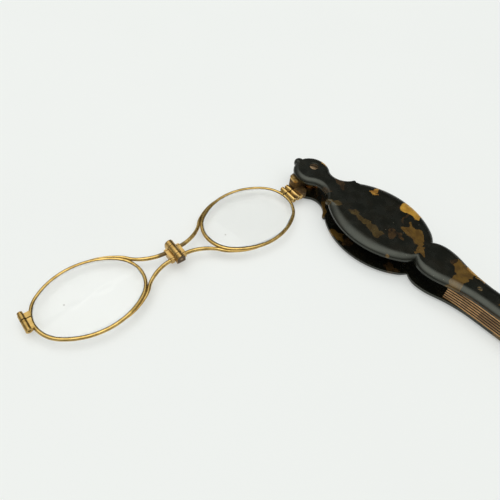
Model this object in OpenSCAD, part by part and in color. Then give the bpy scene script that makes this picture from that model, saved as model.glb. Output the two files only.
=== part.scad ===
// Folding lorgnette. The oval lens pair swings out of a slotted case that is also the handle.
// Millimetres. The origin is on the pivot screw's axis, at the underside of the case.
// The handle runs along -Y and the open lens pair runs towards -X.

/* [Case plates] */
// Thickness of each case plate
plate_t = 2.2; // [1.8:0.1:3]
// Clear height of the slot between the plates
slot_h = 6.5; // [6.4:0.1:8]
// Radius of the polished outer edge of the plates
edge_r = 1.4; // [0.6:0.1:1.4]
// How far the case's centre line lies to the open side of the pivot screw
case_shift = 1.75; // [0:0.25:2.5]

/* [Case outline] */
// Radius of the round head
head_r = 7.1; // [6:0.1:8]
// Centre of the head, measured along the handle from the pivot
head_y = -0.5; // [-1:0.1:2]
// Radius of the knob on the head
knob_r = 2; // [1.6:0.1:2.6]
// Centre of the knob
knob_y = 6.1; // [5.5:0.1:7.5]
// Half width of the neck at its waist
neck_half = 4.1; // [3.6:0.1:4.8]
// Where the waist is
neck_y = -8.6; // [-9.5:0.1:-8]
// Radius of the small cusp on each side
cusp_r = 1; // [0.6:0.05:1.1]
// How far the cusps are from the centre line
cusp_x = 7.6; // [6.5:0.1:8.5]
// Length of the oval that covers the folded lenses
oval_len = 42; // [41:0.2:46]
// Width of the oval
oval_w = 29.8; // [29.4:0.2:33]
// Centre of the oval
oval_y = -34; // [-36:0.1:-33.5]
// Half width of the lobe below the oval
lobe_half = 7.9; // [7:0.1:9.5]
// Where the lobe is widest
lobe_y = -59; // [-60:0.5:-58]
// Radius of the lobe towards the oval
lobe_top_r = 8.8; // [8.2:0.1:10]
// Radius of the lobe towards the grip
lobe_low_r = 20; // [16:0.5:24]
// Half width of the slender grip
grip_half = 4.6; // [4.2:0.1:5.6]
// Where the lobe has run out into the grip
grip_y = -80; // [-84:0.5:-75]
// Far end of the handle
end_y = -122.6; // [-147:0.2:-112]

/* [Handle fittings] */
// Thickness of the brass strip between the plates
strip_t = 1.3; // [1:0.1:1.5]
// How far the strip lies inside the plates' edge
strip_inset = 0.15; // [0.1:0.05:0.4]
// Where the strip starts, just past the folded bridge
strip_y = -67.6; // [-71:0.1:-67.5]
// Number of grooves cut along the strip
reeds = 6; // [3:1:8]
// Width of one reed with its groove
reed_pitch = 0.72; // [0.5:0.02:0.75]
// Depth of a groove
reed_depth = 0.3; // [0.15:0.05:0.4]
// Diameter of the handle rivets
rivet_d = 1.2; // [1:0.1:2]
// Diameter of the rivets' sunk heads
rivet_head_d = 1.7; // [1.5:0.1:2.6]
// Where the first rivet is
rivet_y = -75.4; // [-78:0.1:-75]
// Distance from one rivet to the next
rivet_pitch = 20; // [14:0.5:20]
// Outer diameter of the tubes round the rivets
rivet_tube_d = 3.2; // [2.8:0.1:4]

/* [Pivot] */
// Shank diameter of the pivot screw
pivot_d = 2; // [1.6:0.1:2.4]
// Head diameter of the pivot screw
pivot_head_d = 3.3; // [3:0.1:4]
// Diameter of the washers on both sides of the arm
washer_d = 8.2; // [7:0.1:9]
// Thickness of each washer
washer_t = 0.7; // [0.5:0.05:0.9]
// Diameter of the arm's drum
drum_d = 7.4; // [6:0.1:8]
// Diameter of the threaded bush that is let in flush from below
nut_d = 3.2; // [3:0.1:4]

/* [Lens frame] */
// Distance between the centres of the two lenses
lens_pitch = 63.54; // [60:0.5:68]
// Half length of a rim, to the middle of its wire
rim_a = 18.5; // [17.5:0.1:18.8]
// Half width of a rim, to the middle of its wire
rim_b = 13.7; // [12.5:0.1:13.9]
// Diameter of the rim wire
wire_d = 1.3; // [1:0.05:1.5]
// Diameter of the bridge wires
bridge_wire_d = 1.4; // [0.9:0.05:1.4]
// Thickness of a lens at its centre
lens_t = 1.9; // [1.5:0.1:2.2]
// Radius of the lens faces
lens_face_r = 300; // [220:10:500]
// Distance from the rim's end to the pivot screw
arm_reach = 15.27; // [15:0.05:17]
// How far the lens line passes to the handle side of the pivot screw
arm_drop = 2.9; // [2:0.1:3.5]
// Angle of the open lens line from square to the handle
open_tilt = 7.1; // [0:0.1:12]

/* [Bridge hinge] */
// Diameter of the hinge barrel
barrel_d = 3.2; // [2.8:0.1:3.4]
// Length of the hinge barrel
barrel_len = 8.4; // [7.6:0.1:9]
// Length of the middle knuckle
knuckle_len = 3.8; // [3.4:0.1:4.2]
// Diameter of the hinge pin
pin_d = 1; // [0.8:0.05:1.2]
// Height of the hinge axis over the middle of the rims
hinge_rise = 1.6; // [1.6:0.05:1.7]
// Length of the flanges that carry the wires
flange_len = 5.2; // [5:0.1:6.4]
// Thickness of the flanges
flange_t = 1.3; // [1:0.05:1.5]
// Diameter of the spring wire in the middle knuckle
spring_wire_d = 0.26; // [0.2:0.02:0.3]
// Turns of the spring
spring_turns = 5; // [4:1:6]

/* [Closing tubes] */
// Diameter of the tubes that close the split rims
tube_d = 2.2; // [2:0.05:2.3]
// Length of the closed tube pair
tube_len = 6.5; // [6:0.1:7]
// Upper end of the tubes, measured from the lens line
tube_top = 3.9; // [3.6:0.1:4.2]
// Where the rims are split
split_y = 1.7; // [1.2:0.1:2.2]
// Width of the split
split_w = 0.35; // [0.2:0.05:0.5]
// Diameter of the closing screws
tube_screw_d = 0.9; // [0.8:0.05:1]
// Head diameter of the closing screws
tube_head_d = 1.8; // [1.3:0.05:1.8]
// How much nearer to the top edge the far lens is closed than the near one
far_tube_rise = 1.3; // [0:0.1:1.5]

/* [Hidden] */
$fn = 96;

// Clearances of the fits
run_gap = 0.03;
seat_gap = 0.02;
stack_gap = 0.05;

// Levels through the case
slot_z = plate_t;
roof_z = plate_t + slot_h;
case_t = 2 * plate_t + slot_h;
hinge_z = plate_t + slot_h / 2;
rim_z = hinge_z - hinge_rise;

// Colours
shell_colour = [0.16, 0.12, 0.08];
gold_colour = [0.83, 0.66, 0.33];
brass_colour = [0.72, 0.52, 0.3];
copper_colour = [0.66, 0.4, 0.24];
glass_colour = [0.85, 0.9, 0.92, 0.5];

// Radius of a hollow curve that leaves a wall of half width h and touches a round of radius r,
// whose centre lies at x from the centre line and dy further along the handle
function hollow_r(r, x, h, dy) = ((h - x) * (h - x) + dy * dy - r * r) / (2 * (r - h + x));

// Angle at the centre of a circle of radius r1, between the line to the centre of a circle of
// radius r2 at distance d and the point where both cross
function cross_angle(r1, r2, d) = acos((d * d + r1 * r1 - r2 * r2) / (2 * d * r1));

// Neck, with a hollow curve from the head to the waist and another from there to the cusp
neck_r = hollow_r(head_r, 0, neck_half, head_y - neck_y);
neck_join = atan2(head_y - neck_y, neck_half + neck_r);
oval_k = oval_len - oval_w;
oval_end_r = oval_w / 2 - oval_k / 4;
oval_end_y = oval_len / 2 - oval_end_r;
cusp_y = oval_y + oval_end_y + sqrt(pow(oval_end_r, 2) - pow(cusp_x, 2));
flare_r = (pow(cusp_x - neck_half, 2) + pow(neck_y - cusp_y, 2) - pow(cusp_r, 2))
  / (2 * (cusp_x - neck_half + cusp_r));
flare_join = atan2(neck_y - cusp_y, neck_half + flare_r - cusp_x);

// Lobe, and the long hollow curve into the grip
lobe_cx = lobe_half - lobe_low_r;
grip_r = hollow_r(lobe_low_r, lobe_cx, grip_half, lobe_y - grip_y);
grip_cx = grip_half + grip_r;
grip_join = atan2(lobe_y - grip_y, grip_cx - lobe_cx);
strip_angle = asin((strip_y - grip_y) / (grip_r + strip_inset));
end_cy = end_y + grip_half;

// Places in the lens frame, whose origin is on the bridge hinge and whose +X side is near
lens_x = lens_pitch / 2;
rim_k = 2 * (rim_a - rim_b);
rim_end_r = rim_b - rim_k / 4;
rim_end_x = rim_a - rim_end_r;
pivot_x = lens_x + rim_a + arm_reach;
tube_r = tube_d / 2;
tube_x = lens_x + rim_a + wire_d / 2 + tube_r + stack_gap;
twin_x = tube_x + tube_d + stack_gap;
arm_face = pivot_x - twin_x - tube_r - stack_gap;
tube_low = tube_top - tube_len;
split_top = split_y + split_w / 2;
split_low = split_y - split_w / 2;
flange_x = barrel_d / 2 + stack_gap;
knuckle_half = knuckle_len / 2;
outer_from = knuckle_half + stack_gap;
flange_foot = rim_z - wire_d / 2;
flange_head = hinge_z - 0.15;
groove_depth = 0.42;

module both_sides() {
  children();
  mirror([1, 0, 0]) children();
}

module both_ends() {
  children();
  mirror([0, 1, 0]) children();
}

// Sweeps a section round an oval of four arcs, and tells it the radius of the arc as $r.
// The arcs meet on a slope of 3 in 4, so that their centres are whole decimals.
join = atan2(3, 4);
overlap = 1;
module oval_sweep(a, b) {
  k = 2 * (a - b);
  both_sides() both_ends() {
    translate([0, -k, 0]) rotate([0, 0, 90 - join])
      rotate_extrude(angle = join + overlap) let ($r = b + k) children();
    translate([a - b + k / 4, 0, 0]) rotate([0, 0, 90 - join]) mirror([0, 1, 0])
      rotate_extrude(angle = 90 - join + overlap) let ($r = b - k / 4) children();
  }
}

// Outline of a plate, from the knob down one side to the end of the grip.
// Each point is [x, y, dx, dy], where [dx, dy] leads inwards to the edge of the flat face.
function turn(a) = [cos(a), sin(a)];
function edge_point(p, a, e) = [p[0], p[1], -e * cos(a), -e * sin(a)];
function corner_point(p, a1, a2, e) = let (d = (turn(a1) + turn(a2)) / (1 + cos(a1 - a2)))
  [p[0], p[1], -e * d[0], -e * d[1]];
function arc_points(c, r, a0, a1, n, e, e1) = [for (i = [1 : n - 1])
  let (a = a0 + (a1 - a0) * i / n) edge_point(c + r * turn(a), a, e + ((is_undef(e1) ? e : e1) - e) * i / n)];
function hollow_points(c, r, a0, a1, n, e, e1) = [for (i = [1 : n - 1])
  let (a = a0 + (a1 - a0) * i / n) edge_point(c + r * turn(a), a + 180, e + ((is_undef(e1) ? e : e1) - e) * i / n)];

head_c = [0, head_y];
knob_c = [0, knob_y];
cusp_c = [cusp_x, cusp_y];
oval_top_c = [0, oval_y + oval_end_y];
oval_low_c = [0, oval_y - oval_end_y];
lobe_top_c = [lobe_half - lobe_top_r, lobe_y];
lobe_low_c = [lobe_cx, lobe_y];
grip_c = [grip_cx, grip_y];
end_c = [0, end_cy];
cusp_e = 0.85 * cusp_r;

knob_a = cross_angle(knob_r, head_r, knob_y - head_y) - 90;
head_a = 90 - cross_angle(head_r, knob_r, knob_y - head_y);
cusp_base = atan2(oval_top_c[1] - cusp_y, -cusp_x);
cusp_a = cusp_base + cross_angle(cusp_r, oval_end_r, oval_end_r);
oval_a = cusp_base + 180 - cross_angle(oval_end_r, cusp_r, oval_end_r);
lobe_base = atan2(lobe_y - oval_low_c[1], lobe_top_c[0]);
lobe_gap = norm(lobe_top_c - oval_low_c);
notch_a = lobe_base + cross_angle(oval_end_r, lobe_top_r, lobe_gap);
lobe_a = lobe_base + 180 - cross_angle(lobe_top_r, oval_end_r, lobe_gap);

outline = concat(
  [edge_point(knob_c + [0, knob_r], 90, edge_r)],
  arc_points(knob_c, knob_r, 90, knob_a, 5, edge_r),
  [corner_point(head_c + head_r * turn(head_a), knob_a, head_a, edge_r)],
  arc_points(head_c, head_r, head_a, -neck_join, 15, edge_r),
  [edge_point(head_c + head_r * turn(-neck_join), -neck_join, edge_r)],
  hollow_points([neck_half + neck_r, neck_y], neck_r, 180 - neck_join, 180, 7, edge_r),
  [edge_point([neck_half, neck_y], 0, edge_r)],
  hollow_points([neck_half + flare_r, neck_y], flare_r, 180, 180 + flare_join, 10, edge_r, cusp_e),
  [edge_point(cusp_c + cusp_r * turn(flare_join), flare_join, cusp_e)],
  arc_points(cusp_c, cusp_r, flare_join, cusp_a, 6, cusp_e),
  [corner_point(cusp_c + cusp_r * turn(cusp_a), cusp_a, oval_a, cusp_e)],
  arc_points(oval_top_c, oval_end_r, oval_a, join, 3, cusp_e, edge_r),
  [edge_point(oval_top_c + oval_end_r * turn(join), join, edge_r)],
  arc_points([-oval_k, oval_y], oval_w / 2 + oval_k, join, -join, 19, edge_r),
  [edge_point(oval_low_c + oval_end_r * turn(-join), -join, edge_r)],
  arc_points(oval_low_c, oval_end_r, -join, notch_a, 4, edge_r),
  [corner_point(oval_low_c + oval_end_r * turn(notch_a), notch_a, lobe_a, edge_r)],
  arc_points(lobe_top_c, lobe_top_r, lobe_a, 0, 6, edge_r),
  [edge_point([lobe_half, lobe_y], 0, edge_r)],
  arc_points(lobe_low_c, lobe_low_r, 0, -grip_join, 5, edge_r),
  [edge_point(lobe_low_c + lobe_low_r * turn(-grip_join), -grip_join, edge_r)],
  hollow_points(grip_c, grip_r, 180 - grip_join, 180, 6, edge_r),
  [edge_point([grip_half, grip_y], 0, edge_r), edge_point([grip_half, end_cy], 0, edge_r)],
  arc_points(end_c, grip_half, 0, -90, 11, edge_r),
  [edge_point(end_c - [0, grip_half], -90, edge_r)]
);

// Levels of the loft: height, and how far in along each point's way to the flat face
plate_levels = concat([[0, 0]],
  [for (a = [0 : 22.5 : 90]) [plate_t - edge_r + edge_r * sin(a), 1 - cos(a)]]);

// One case plate on its centre line, flat side down: the outline lofted over a rounded edge
module plate_blank() {
  n = len(outline);
  m = 2 * n - 2;
  loop = concat(outline, [for (i = [n - 2 : -1 : 1]) let (p = outline[i]) [-p[0], p[1], -p[2], p[3]]]);
  points = [for (l = plate_levels) for (p = loop) [p[0] + l[1] * p[2], p[1] + l[1] * p[3], l[0]]];
  top = (len(plate_levels) - 1) * m;
  walls = [for (l = [0 : len(plate_levels) - 2]) for (i = [0 : m - 1]) let (k = (i + 1) % m)
    [l * m + i, l * m + k, (l + 1) * m + k, (l + 1) * m + i]];
  caps = [for (i = [1 : n - 3]) [i, m - i, m - i - 1, i + 1]];
  ends = [[0, m - 1, 1], [n - 2, n, n - 1]];
  faces = concat(walls, caps, ends, [for (f = concat(caps, ends)) [for (i = [len(f) - 1 : -1 : 0]) top + f[i]]]);
  polyhedron(points = points, faces = faces, convexity = 8);
}

module at_rivets() {
  for (i = [0 : 2]) translate([-case_shift, rivet_y - i * rivet_pitch, 0]) children();
}

// Case and its fittings

head_sink = 0.15;
head_t = 0.9;
rivet_sink = 0.1;
rivet_head_t = 0.4;
nut_flange_d = nut_d + 1.4;
nut_flange_t = 0.65;

module front_plate() {
  color(shell_colour) difference() {
    translate([-case_shift, 0, roof_z]) plate_blank();
    translate([0, 0, roof_z - 1]) cylinder(d = pivot_d + 2 * run_gap, h = plate_t + 2);
    translate([0, 0, case_t - head_sink - head_t]) cylinder(d = pivot_head_d + 4 * seat_gap, h = head_t + 1);
    at_rivets() {
      translate([0, 0, roof_z - 1]) cylinder(d = rivet_d + 2 * seat_gap, h = plate_t + 2);
      translate([0, 0, case_t - rivet_sink - rivet_head_t])
        cylinder(d = rivet_head_d + 2 * seat_gap, h = rivet_head_t + 1);
    }
  }
}

module back_plate() {
  color(shell_colour) difference() {
    translate([-case_shift, 0, plate_t]) mirror([0, 0, 1]) plate_blank();
    translate([0, 0, -1]) cylinder(d = nut_d + 2 * seat_gap, h = plate_t + 2);
    translate([0, 0, -1]) cylinder(d = nut_flange_d + 2 * seat_gap, h = 1 + nut_flange_t);
    at_rivets() {
      translate([0, 0, -1]) cylinder(d = rivet_d + 2 * seat_gap, h = plate_t + 2);
      translate([0, 0, -1]) cylinder(d = rivet_head_d + 2 * seat_gap, h = 1 + rivet_sink + rivet_head_t);
    }
  }
}

// Cross section of the brass strip: x runs inwards from its reeded face
module strip_section() {
  first = (slot_h - reeds * reed_pitch) / 2;
  difference() {
    square([strip_t, slot_h]);
    for (i = [0 : reeds - 1]) translate([0, first + (i + 0.5) * reed_pitch])
      polygon([[-0.1, -reed_pitch * 0.3], [0, -reed_pitch * 0.3], [reed_depth, 0],
        [0, reed_pitch * 0.3], [-0.1, reed_pitch * 0.3]]);
  }
}

// Strip bent to the case outline: two concave runs, two straight runs and the round end
module reeded_spacer() {
  inner = grip_half - strip_inset;
  color(brass_colour) translate([-case_shift, 0, slot_z]) {
    both_sides() {
      translate([grip_cx, grip_y, 0]) rotate([0, 0, 180]) mirror([0, 1, 0])
        rotate_extrude(angle = strip_angle) translate([grip_r + strip_inset, 0]) strip_section();
      translate([inner, grip_y, 0]) rotate([90, 0, 0])
        linear_extrude(grip_y - end_cy) mirror([1, 0]) strip_section();
    }
    translate([0, end_cy, 0]) rotate([0, 0, 180])
      rotate_extrude(angle = 180) translate([inner, 0]) mirror([1, 0]) strip_section();
  }
}

module handle_rivets() {
  color(brass_colour) at_rivets() {
    translate([0, 0, rivet_sink]) cylinder(d = rivet_d, h = case_t - 2 * rivet_sink);
    translate([0, 0, rivet_sink]) cylinder(d = rivet_head_d, h = rivet_head_t);
    translate([0, 0, case_t - rivet_sink - rivet_head_t]) cylinder(d = rivet_head_d, h = rivet_head_t);
  }
}

module rivet_tubes() {
  color(brass_colour) at_rivets() translate([0, 0, slot_z]) difference() {
    cylinder(d = rivet_tube_d, h = slot_h);
    translate([0, 0, -1]) cylinder(d = rivet_d + 2 * seat_gap, h = slot_h + 2);
  }
}

// Pivot of the lens frame

screw_slot_w = 0.5;
screw_slot_angle = -62;

module pivot_screw() {
  head_z = case_t - head_sink - head_t;
  dome_r = 8;
  color(brass_colour) difference() {
    union() {
      cylinder(d = pivot_d, h = head_z + 0.1);
      intersection() {
        translate([0, 0, head_z]) cylinder(d = pivot_head_d, h = head_t);
        translate([0, 0, head_z + head_t - dome_r]) sphere(dome_r);
      }
    }
    rotate([0, 0, screw_slot_angle])
      translate([-pivot_head_d, -screw_slot_w / 2, head_z + head_t - 0.5])
        cube([2 * pivot_head_d, screw_slot_w, 1]);
  }
}

module pivot_nut() {
  color(brass_colour) difference() {
    union() {
      cylinder(d = nut_flange_d, h = nut_flange_t);
      cylinder(d = nut_d, h = plate_t);
    }
    translate([0, 0, -1]) cylinder(d = pivot_d + 2 * seat_gap, h = plate_t + 2);
  }
}

module washer(z) {
  color(copper_colour) translate([0, 0, z]) difference() {
    cylinder(d = washer_d, h = washer_t);
    translate([0, 0, -1]) cylinder(d = pivot_d + 2 * run_gap, h = washer_t + 2);
  }
}

module lower_washer() {
  washer(slot_z);
}

module upper_washer() {
  washer(roof_z - washer_t);
}

// Lens frame placed on the pivot, open
module place_frame() {
  rotate([0, 0, -open_tilt]) translate([-pivot_x, -arm_drop, 0]) children();
}

// Lies along the hinge direction, from y0 to y1
module rod(x, z, d, y0, y1) {
  translate([x, y1, z]) rotate([90, 0, 0]) cylinder(d = d, h = y1 - y0);
}

// The arm: a turned drum on the screw, a tall block that fills the slot beside it, and a low foot
// along the tube
block_gap = 0.3;
block_top = 2.8;
block_low = 1.4;
block_in = washer_d / 2 + 0.3;
block_edge = 1.3;
foot_low = arm_drop - tube_low;
foot_in = 6.4;

module arm_block() {
  block_h = slot_h - 2 * block_gap;
  difference() {
    translate([0, 0, slot_z + block_gap]) linear_extrude(block_h) {
      polygon([
        [-arm_face, -block_low + 1.2], [-arm_face + 1.2, -block_low], [-block_in, -block_low],
        [-block_in, 2.4], [-7, block_top],
        [-arm_face + 1.2, block_top], [-arm_face, block_top - 1.2]
      ]);
      translate([-arm_face + 1.2, block_top - 1.2]) circle(1.2);
      translate([-arm_face + 1.2, -block_low + 1.2]) circle(1.2);
    }
    translate([-arm_face, 0, roof_z - block_gap - block_edge])
      rotate([0, -45, 0]) translate([-4, -10, 0]) cube([4, 20, 6]);
  }
}

module pivot_arm() {
  drum_z = slot_z + washer_t + stack_gap;
  drum_h = slot_h - 2 * washer_t - 2 * stack_gap;
  color(gold_colour) rotate([0, 0, -open_tilt]) difference() {
    union() {
      translate([0, 0, drum_z]) cylinder(d = drum_d, h = drum_h);
      arm_block();
      translate([0, 0, slot_z + block_gap]) linear_extrude(rim_z + tube_r - slot_z - block_gap) polygon([
        [-arm_face, -foot_low], [-foot_in - 1.2, -foot_low], [-foot_in, -foot_low + 1.2], [-foot_in, 0], [-arm_face, 0]
      ]);
      translate([-block_in - 1, -block_low, drum_z + 0.6]) cube([block_in + 1, block_low + 2.2, drum_h - 1.2]);
      translate([-pivot_x, -arm_drop, 0]) {
        rod(twin_x, rim_z, tube_d, tube_low, split_low);
        translate([twin_x, tube_low, rim_z - tube_r + 0.3])
          cube([pivot_x - twin_x - arm_face + 1, split_low - tube_low, tube_d - 0.6]);
      }
    }
    translate([0, 0, slot_z]) cylinder(d = pivot_d + 2 * run_gap, h = slot_h);
    for (z = [0.28, 0.72]) translate([0, 0, drum_z + z * drum_h - 0.25]) difference() {
      cylinder(d = drum_d + 2, h = 0.5);
      cylinder(d = drum_d - 1.2, h = 0.5);
      translate([-drum_d - 2, -drum_d, -1]) cube([drum_d, 2 * drum_d, 3]);
    }
    translate([-pivot_x, -arm_drop, 0]) rod(twin_x, rim_z, tube_screw_d + 2 * seat_gap, tube_low - 1, split_low + 1);
  }
}

// Screw along a closing tube, with a slotted head on its upper end
module tube_screw(x) {
  head_h = 1.1;
  color(gold_colour) difference() {
    union() {
      rod(x, rim_z, tube_screw_d, tube_low + 0.2, tube_top + 0.1);
      rod(x, rim_z, tube_head_d, tube_top, tube_top + head_h);
    }
    translate([x - 1, tube_top + head_h - 0.3, rim_z - 0.14]) cube([2, 1, 0.28]);
  }
}

module arm_pin() {
  place_frame() tube_screw(twin_x);
}

// Eyewire: round outside, with a groove inside for the lens edge, and split at its outer end
module rim(rise = 0) {
  g = wire_d / 2;
  color(gold_colour) translate([lens_x, 0, rim_z]) difference() {
    oval_sweep(rim_a, rim_b) translate([$r, 0]) difference() {
      circle(g, $fn = 48);
      polygon([[-g - 0.2, -groove_depth - 0.2], [groove_depth - g, 0], [-g - 0.2, groove_depth + 0.2]]);
    }
    translate([rim_a - 2, split_low + rise, -2]) cube([4, split_w, 4]);
  }
}

// Points round an oval of four arcs with half length a and half width b
function oval_point(a, b, q, t) = let (k = 2 * (a - b), s = 90 - join,
  p = t < 0.45 ? [a - b + k / 4, 0] + (b - k / 4) * turn(s * t / 0.45)
    : [0, -k] + (b + k) * turn(s + join * (t - 0.45) / 0.55))
  [q == 0 || q == 3 ? p[0] : -p[0], q < 2 ? p[1] : -p[1]];
quarter_steps = 18;
function oval_points(a, b) = [for (q = [0 : 3]) for (i = [0 : quarter_steps - 1])
  oval_point(a, b, q, q % 2 == 0 ? i / quarter_steps : 1 - i / quarter_steps)];

// Lens with a bevelled edge that lies in the rim's groove, lofted over spherical faces
lens_insets = [0, groove_depth, 0.85, 3, 6.5];
function face_z(p) = lens_t / 2 - lens_face_r + sqrt(pow(lens_face_r, 2) - p * p);
module lens() {
  tip = wire_d / 2 - groove_depth + 2 * seat_gap;
  m = 4 * quarter_steps;
  n = len(lens_insets);
  loops = [for (d = lens_insets) oval_points(rim_a - tip - d, rim_b - tip - d)];
  upper = [for (l = [1 : n - 1]) for (p = loops[l]) [p[0], p[1], min(face_z(p), lens_insets[l])]];
  lower = [for (p = upper) [p[0], p[1], -p[2]]];
  points = concat([for (p = loops[0]) [p[0], p[1], 0]], upper, lower, [[0, 0, lens_t / 2], [0, 0, -lens_t / 2]]);
  low = m * (n - 1);
  last = len(points) - 1;
  faces = [for (i = [0 : m - 1]) let (k = (i + 1) % m) each concat(
    [for (l = [0 : n - 2]) [l * m + i, (l + 1) * m + i, (l + 1) * m + k, l * m + k]],
    [[i, k, low + m + k, low + m + i]],
    [for (l = [1 : n - 2]) [low + l * m + i, low + l * m + k, low + (l + 1) * m + k, low + (l + 1) * m + i]],
    [[low + i, last - 1, low + k], [low + (n - 1) * m + i, low + (n - 1) * m + k, last]]
  )];
  color(glass_colour) translate([lens_x, 0, rim_z]) polyhedron(points = points, faces = faces, convexity = 3);
}

// Closing tubes side by side, from y0 to y1, soldered to each other and to the rim
module closing_tubes(y0, y1, xs) {
  web_h = tube_d * 0.6;
  color(gold_colour) difference() {
    union() {
      for (x = xs) {
        rod(x, rim_z, tube_d, y0, y1);
        translate([x - tube_r - 1.6, y0, rim_z - web_h / 2]) cube([tube_r + 1.6, y1 - y0, web_h]);
      }
    }
    for (x = xs) rod(x, rim_z, tube_screw_d + 2 * seat_gap, y0 - 1, y1 + 1);
    translate([lens_x + rim_end_x, 0, rim_z]) rotate_extrude() {
      translate([0, -tube_d]) square([rim_end_r, 2 * tube_d]);
      translate([rim_end_r, 0]) circle(d = wire_d, $fn = 48);
    }
  }
}

module near_upper_tubes() {
  place_frame() closing_tubes(split_top, tube_top, [tube_x, twin_x]);
}

module near_lower_tube() {
  place_frame() closing_tubes(tube_low, split_low, [tube_x]);
}

module near_closing_screw() {
  place_frame() tube_screw(tube_x);
}

module near_rim() {
  place_frame() rim();
}

module near_lens() {
  place_frame() lens();
}

// Bridge wires: swept rounds that leave the rim and run to the flange

wire_start = 36;
wire_tail = 76;
wire_spread = 1.9;
wire_rise = 0.35;
wire_sides = 12;
wire_steps = 16;
tail_steps = 8;

function bezier(p, t) = pow(1 - t, 3) * p[0] + 3 * pow(1 - t, 2) * t * p[1]
  + 3 * (1 - t) * t * t * p[2] + t * t * t * p[3];
function bezier_slope(p, t) = 3 * pow(1 - t, 2) * (p[1] - p[0]) + 6 * (1 - t) * t * (p[2] - p[1])
  + 3 * t * t * (p[3] - p[2]);
function rim_side(angle, r) = let (off = wire_d / 2 + seat_gap + r)
  angle < 90 - join
    ? [lens_x - rim_end_x - (rim_end_r + off) * cos(angle), (rim_end_r + off) * sin(angle)]
    : [lens_x - (rim_b + rim_k + off) * cos(angle), (rim_b + rim_k + off) * sin(angle) - rim_k];

wire_tip_r = 0.2;
wire_fork_r = 0.5;
wire_r = bridge_wire_d / 2;
wire_p = [
  rim_side(wire_start, wire_fork_r),
  rim_side(wire_start, wire_fork_r) - 3.2 * [sin(wire_start), cos(wire_start)],
  [7.6, wire_spread],
  [flange_x + flange_t, wire_spread]
];

// Each station of a wire: x, y, height over the rim plane, direction, radius
function tail_station(i) = let (u = i / tail_steps, g = wire_tail + (wire_start - wire_tail) * u,
  r = wire_tip_r + (wire_fork_r - wire_tip_r) * u, p = rim_side(g, r))
  [p[0], p[1], 0, -g - 90, r];
function run_station(i) = let (t = i / wire_steps, p = bezier(wire_p, t), d = bezier_slope(wire_p, t),
  w = pow(min(1, 2 * t), 2))
  [p[0], p[1], wire_rise * (1 - cos(180 * t)) / 2, atan2(d[1], d[0]), wire_fork_r + (wire_r - wire_fork_r) * w];
wire_stations = concat([for (i = [0 : tail_steps - 1]) tail_station(i)], [for (i = [0 : wire_steps]) run_station(i)]);

function ring_points(s) = [for (j = [0 : wire_sides - 1]) let (q = 360 * j / wire_sides)
  [s[0] - s[4] * cos(q) * sin(s[3]), s[1] + s[4] * cos(q) * cos(s[3]), s[2] + s[4] * sin(q)]];

module swept_round(stations, sides) {
  n = len(stations);
  points = [for (s = stations) for (p = ring_points(s)) p];
  faces = concat(
    [[for (j = [0 : sides - 1]) j]],
    [for (i = [0 : n - 2]) for (j = [0 : sides - 1])
      [i * sides + j, (i + 1) * sides + j, (i + 1) * sides + (j + 1) % sides, i * sides + (j + 1) % sides]],
    [[for (j = [sides - 1 : -1 : 0]) (n - 1) * sides + j]]
  );
  polyhedron(points = points, faces = faces, convexity = 4);
}

module bridge_wires() {
  color(gold_colour) translate([0, 0, rim_z]) {
    swept_round(wire_stations, wire_sides);
    mirror([0, 1, 0]) swept_round(wire_stations, wire_sides);
  }
}

module near_bridge_wires() {
  place_frame() bridge_wires();
}

// Bridge hinge

// A knuckle with a round top and a square foot, from y0 to y1
module knuckle(y0, y1) {
  rod(0, hinge_z, barrel_d, y0, y1);
  translate([-barrel_d / 2, y0, hinge_z - barrel_d / 2]) cube([barrel_d, y1 - y0, barrel_d / 2]);
}

module flange() {
  translate([flange_x, -flange_len / 2, flange_foot]) cube([flange_t, flange_len, flange_head - flange_foot]);
}

module near_hinge() {
  end_y1 = barrel_len / 2;
  color(gold_colour) place_frame() difference() {
    union() {
      flange();
      both_ends() {
        knuckle(outer_from, end_y1);
        translate([0, outer_from, flange_foot + 0.7])
          cube([flange_x + 0.2, flange_len / 2 - outer_from, flange_head - flange_foot - 0.7]);
      }
    }
    rod(0, hinge_z, pin_d + 2 * seat_gap, -end_y1 - 1, end_y1 + 1);
  }
}

module hinge_pin() {
  color(brass_colour) place_frame() rod(0, hinge_z, pin_d, -barrel_len / 2, barrel_len / 2);
}

spring_bore_d = 2.3;
spring_wall = 0.7;

// The middle knuckle is bored from its upper end for the spring
module far_hinge() {
  color(gold_colour) place_frame() difference() {
    union() {
      mirror([1, 0, 0]) flange();
      knuckle(-knuckle_half, knuckle_half);
      translate([-flange_x - 0.2, -knuckle_half, flange_foot + 0.7])
        cube([flange_x + 0.2, knuckle_len, flange_head - flange_foot - 0.7]);
    }
    rod(0, hinge_z, pin_d + 2 * run_gap, -knuckle_half - 1, knuckle_half + 1);
    rod(0, hinge_z, spring_bore_d, spring_wall - knuckle_half, knuckle_half + 1);
  }
}

// Coil round the pin, from the bore's floor to its mouth
spring_mean_d = 1.7;
spring_from = spring_wall - knuckle_half + spring_wire_d / 2 + stack_gap;
spring_to = knuckle_half - spring_wire_d / 2 - stack_gap;
spring_sides = 6;
spring_rings = 12;

function coil_point(i, j) = let (n = spring_turns * spring_rings, a = 360 * i / spring_rings,
  q = 360 * j / spring_sides, r = spring_mean_d / 2 + spring_wire_d / 2 * cos(q))
  [r * cos(a), spring_from + (spring_to - spring_from) * i / n + spring_wire_d / 2 * sin(q), r * sin(a)];

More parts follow.
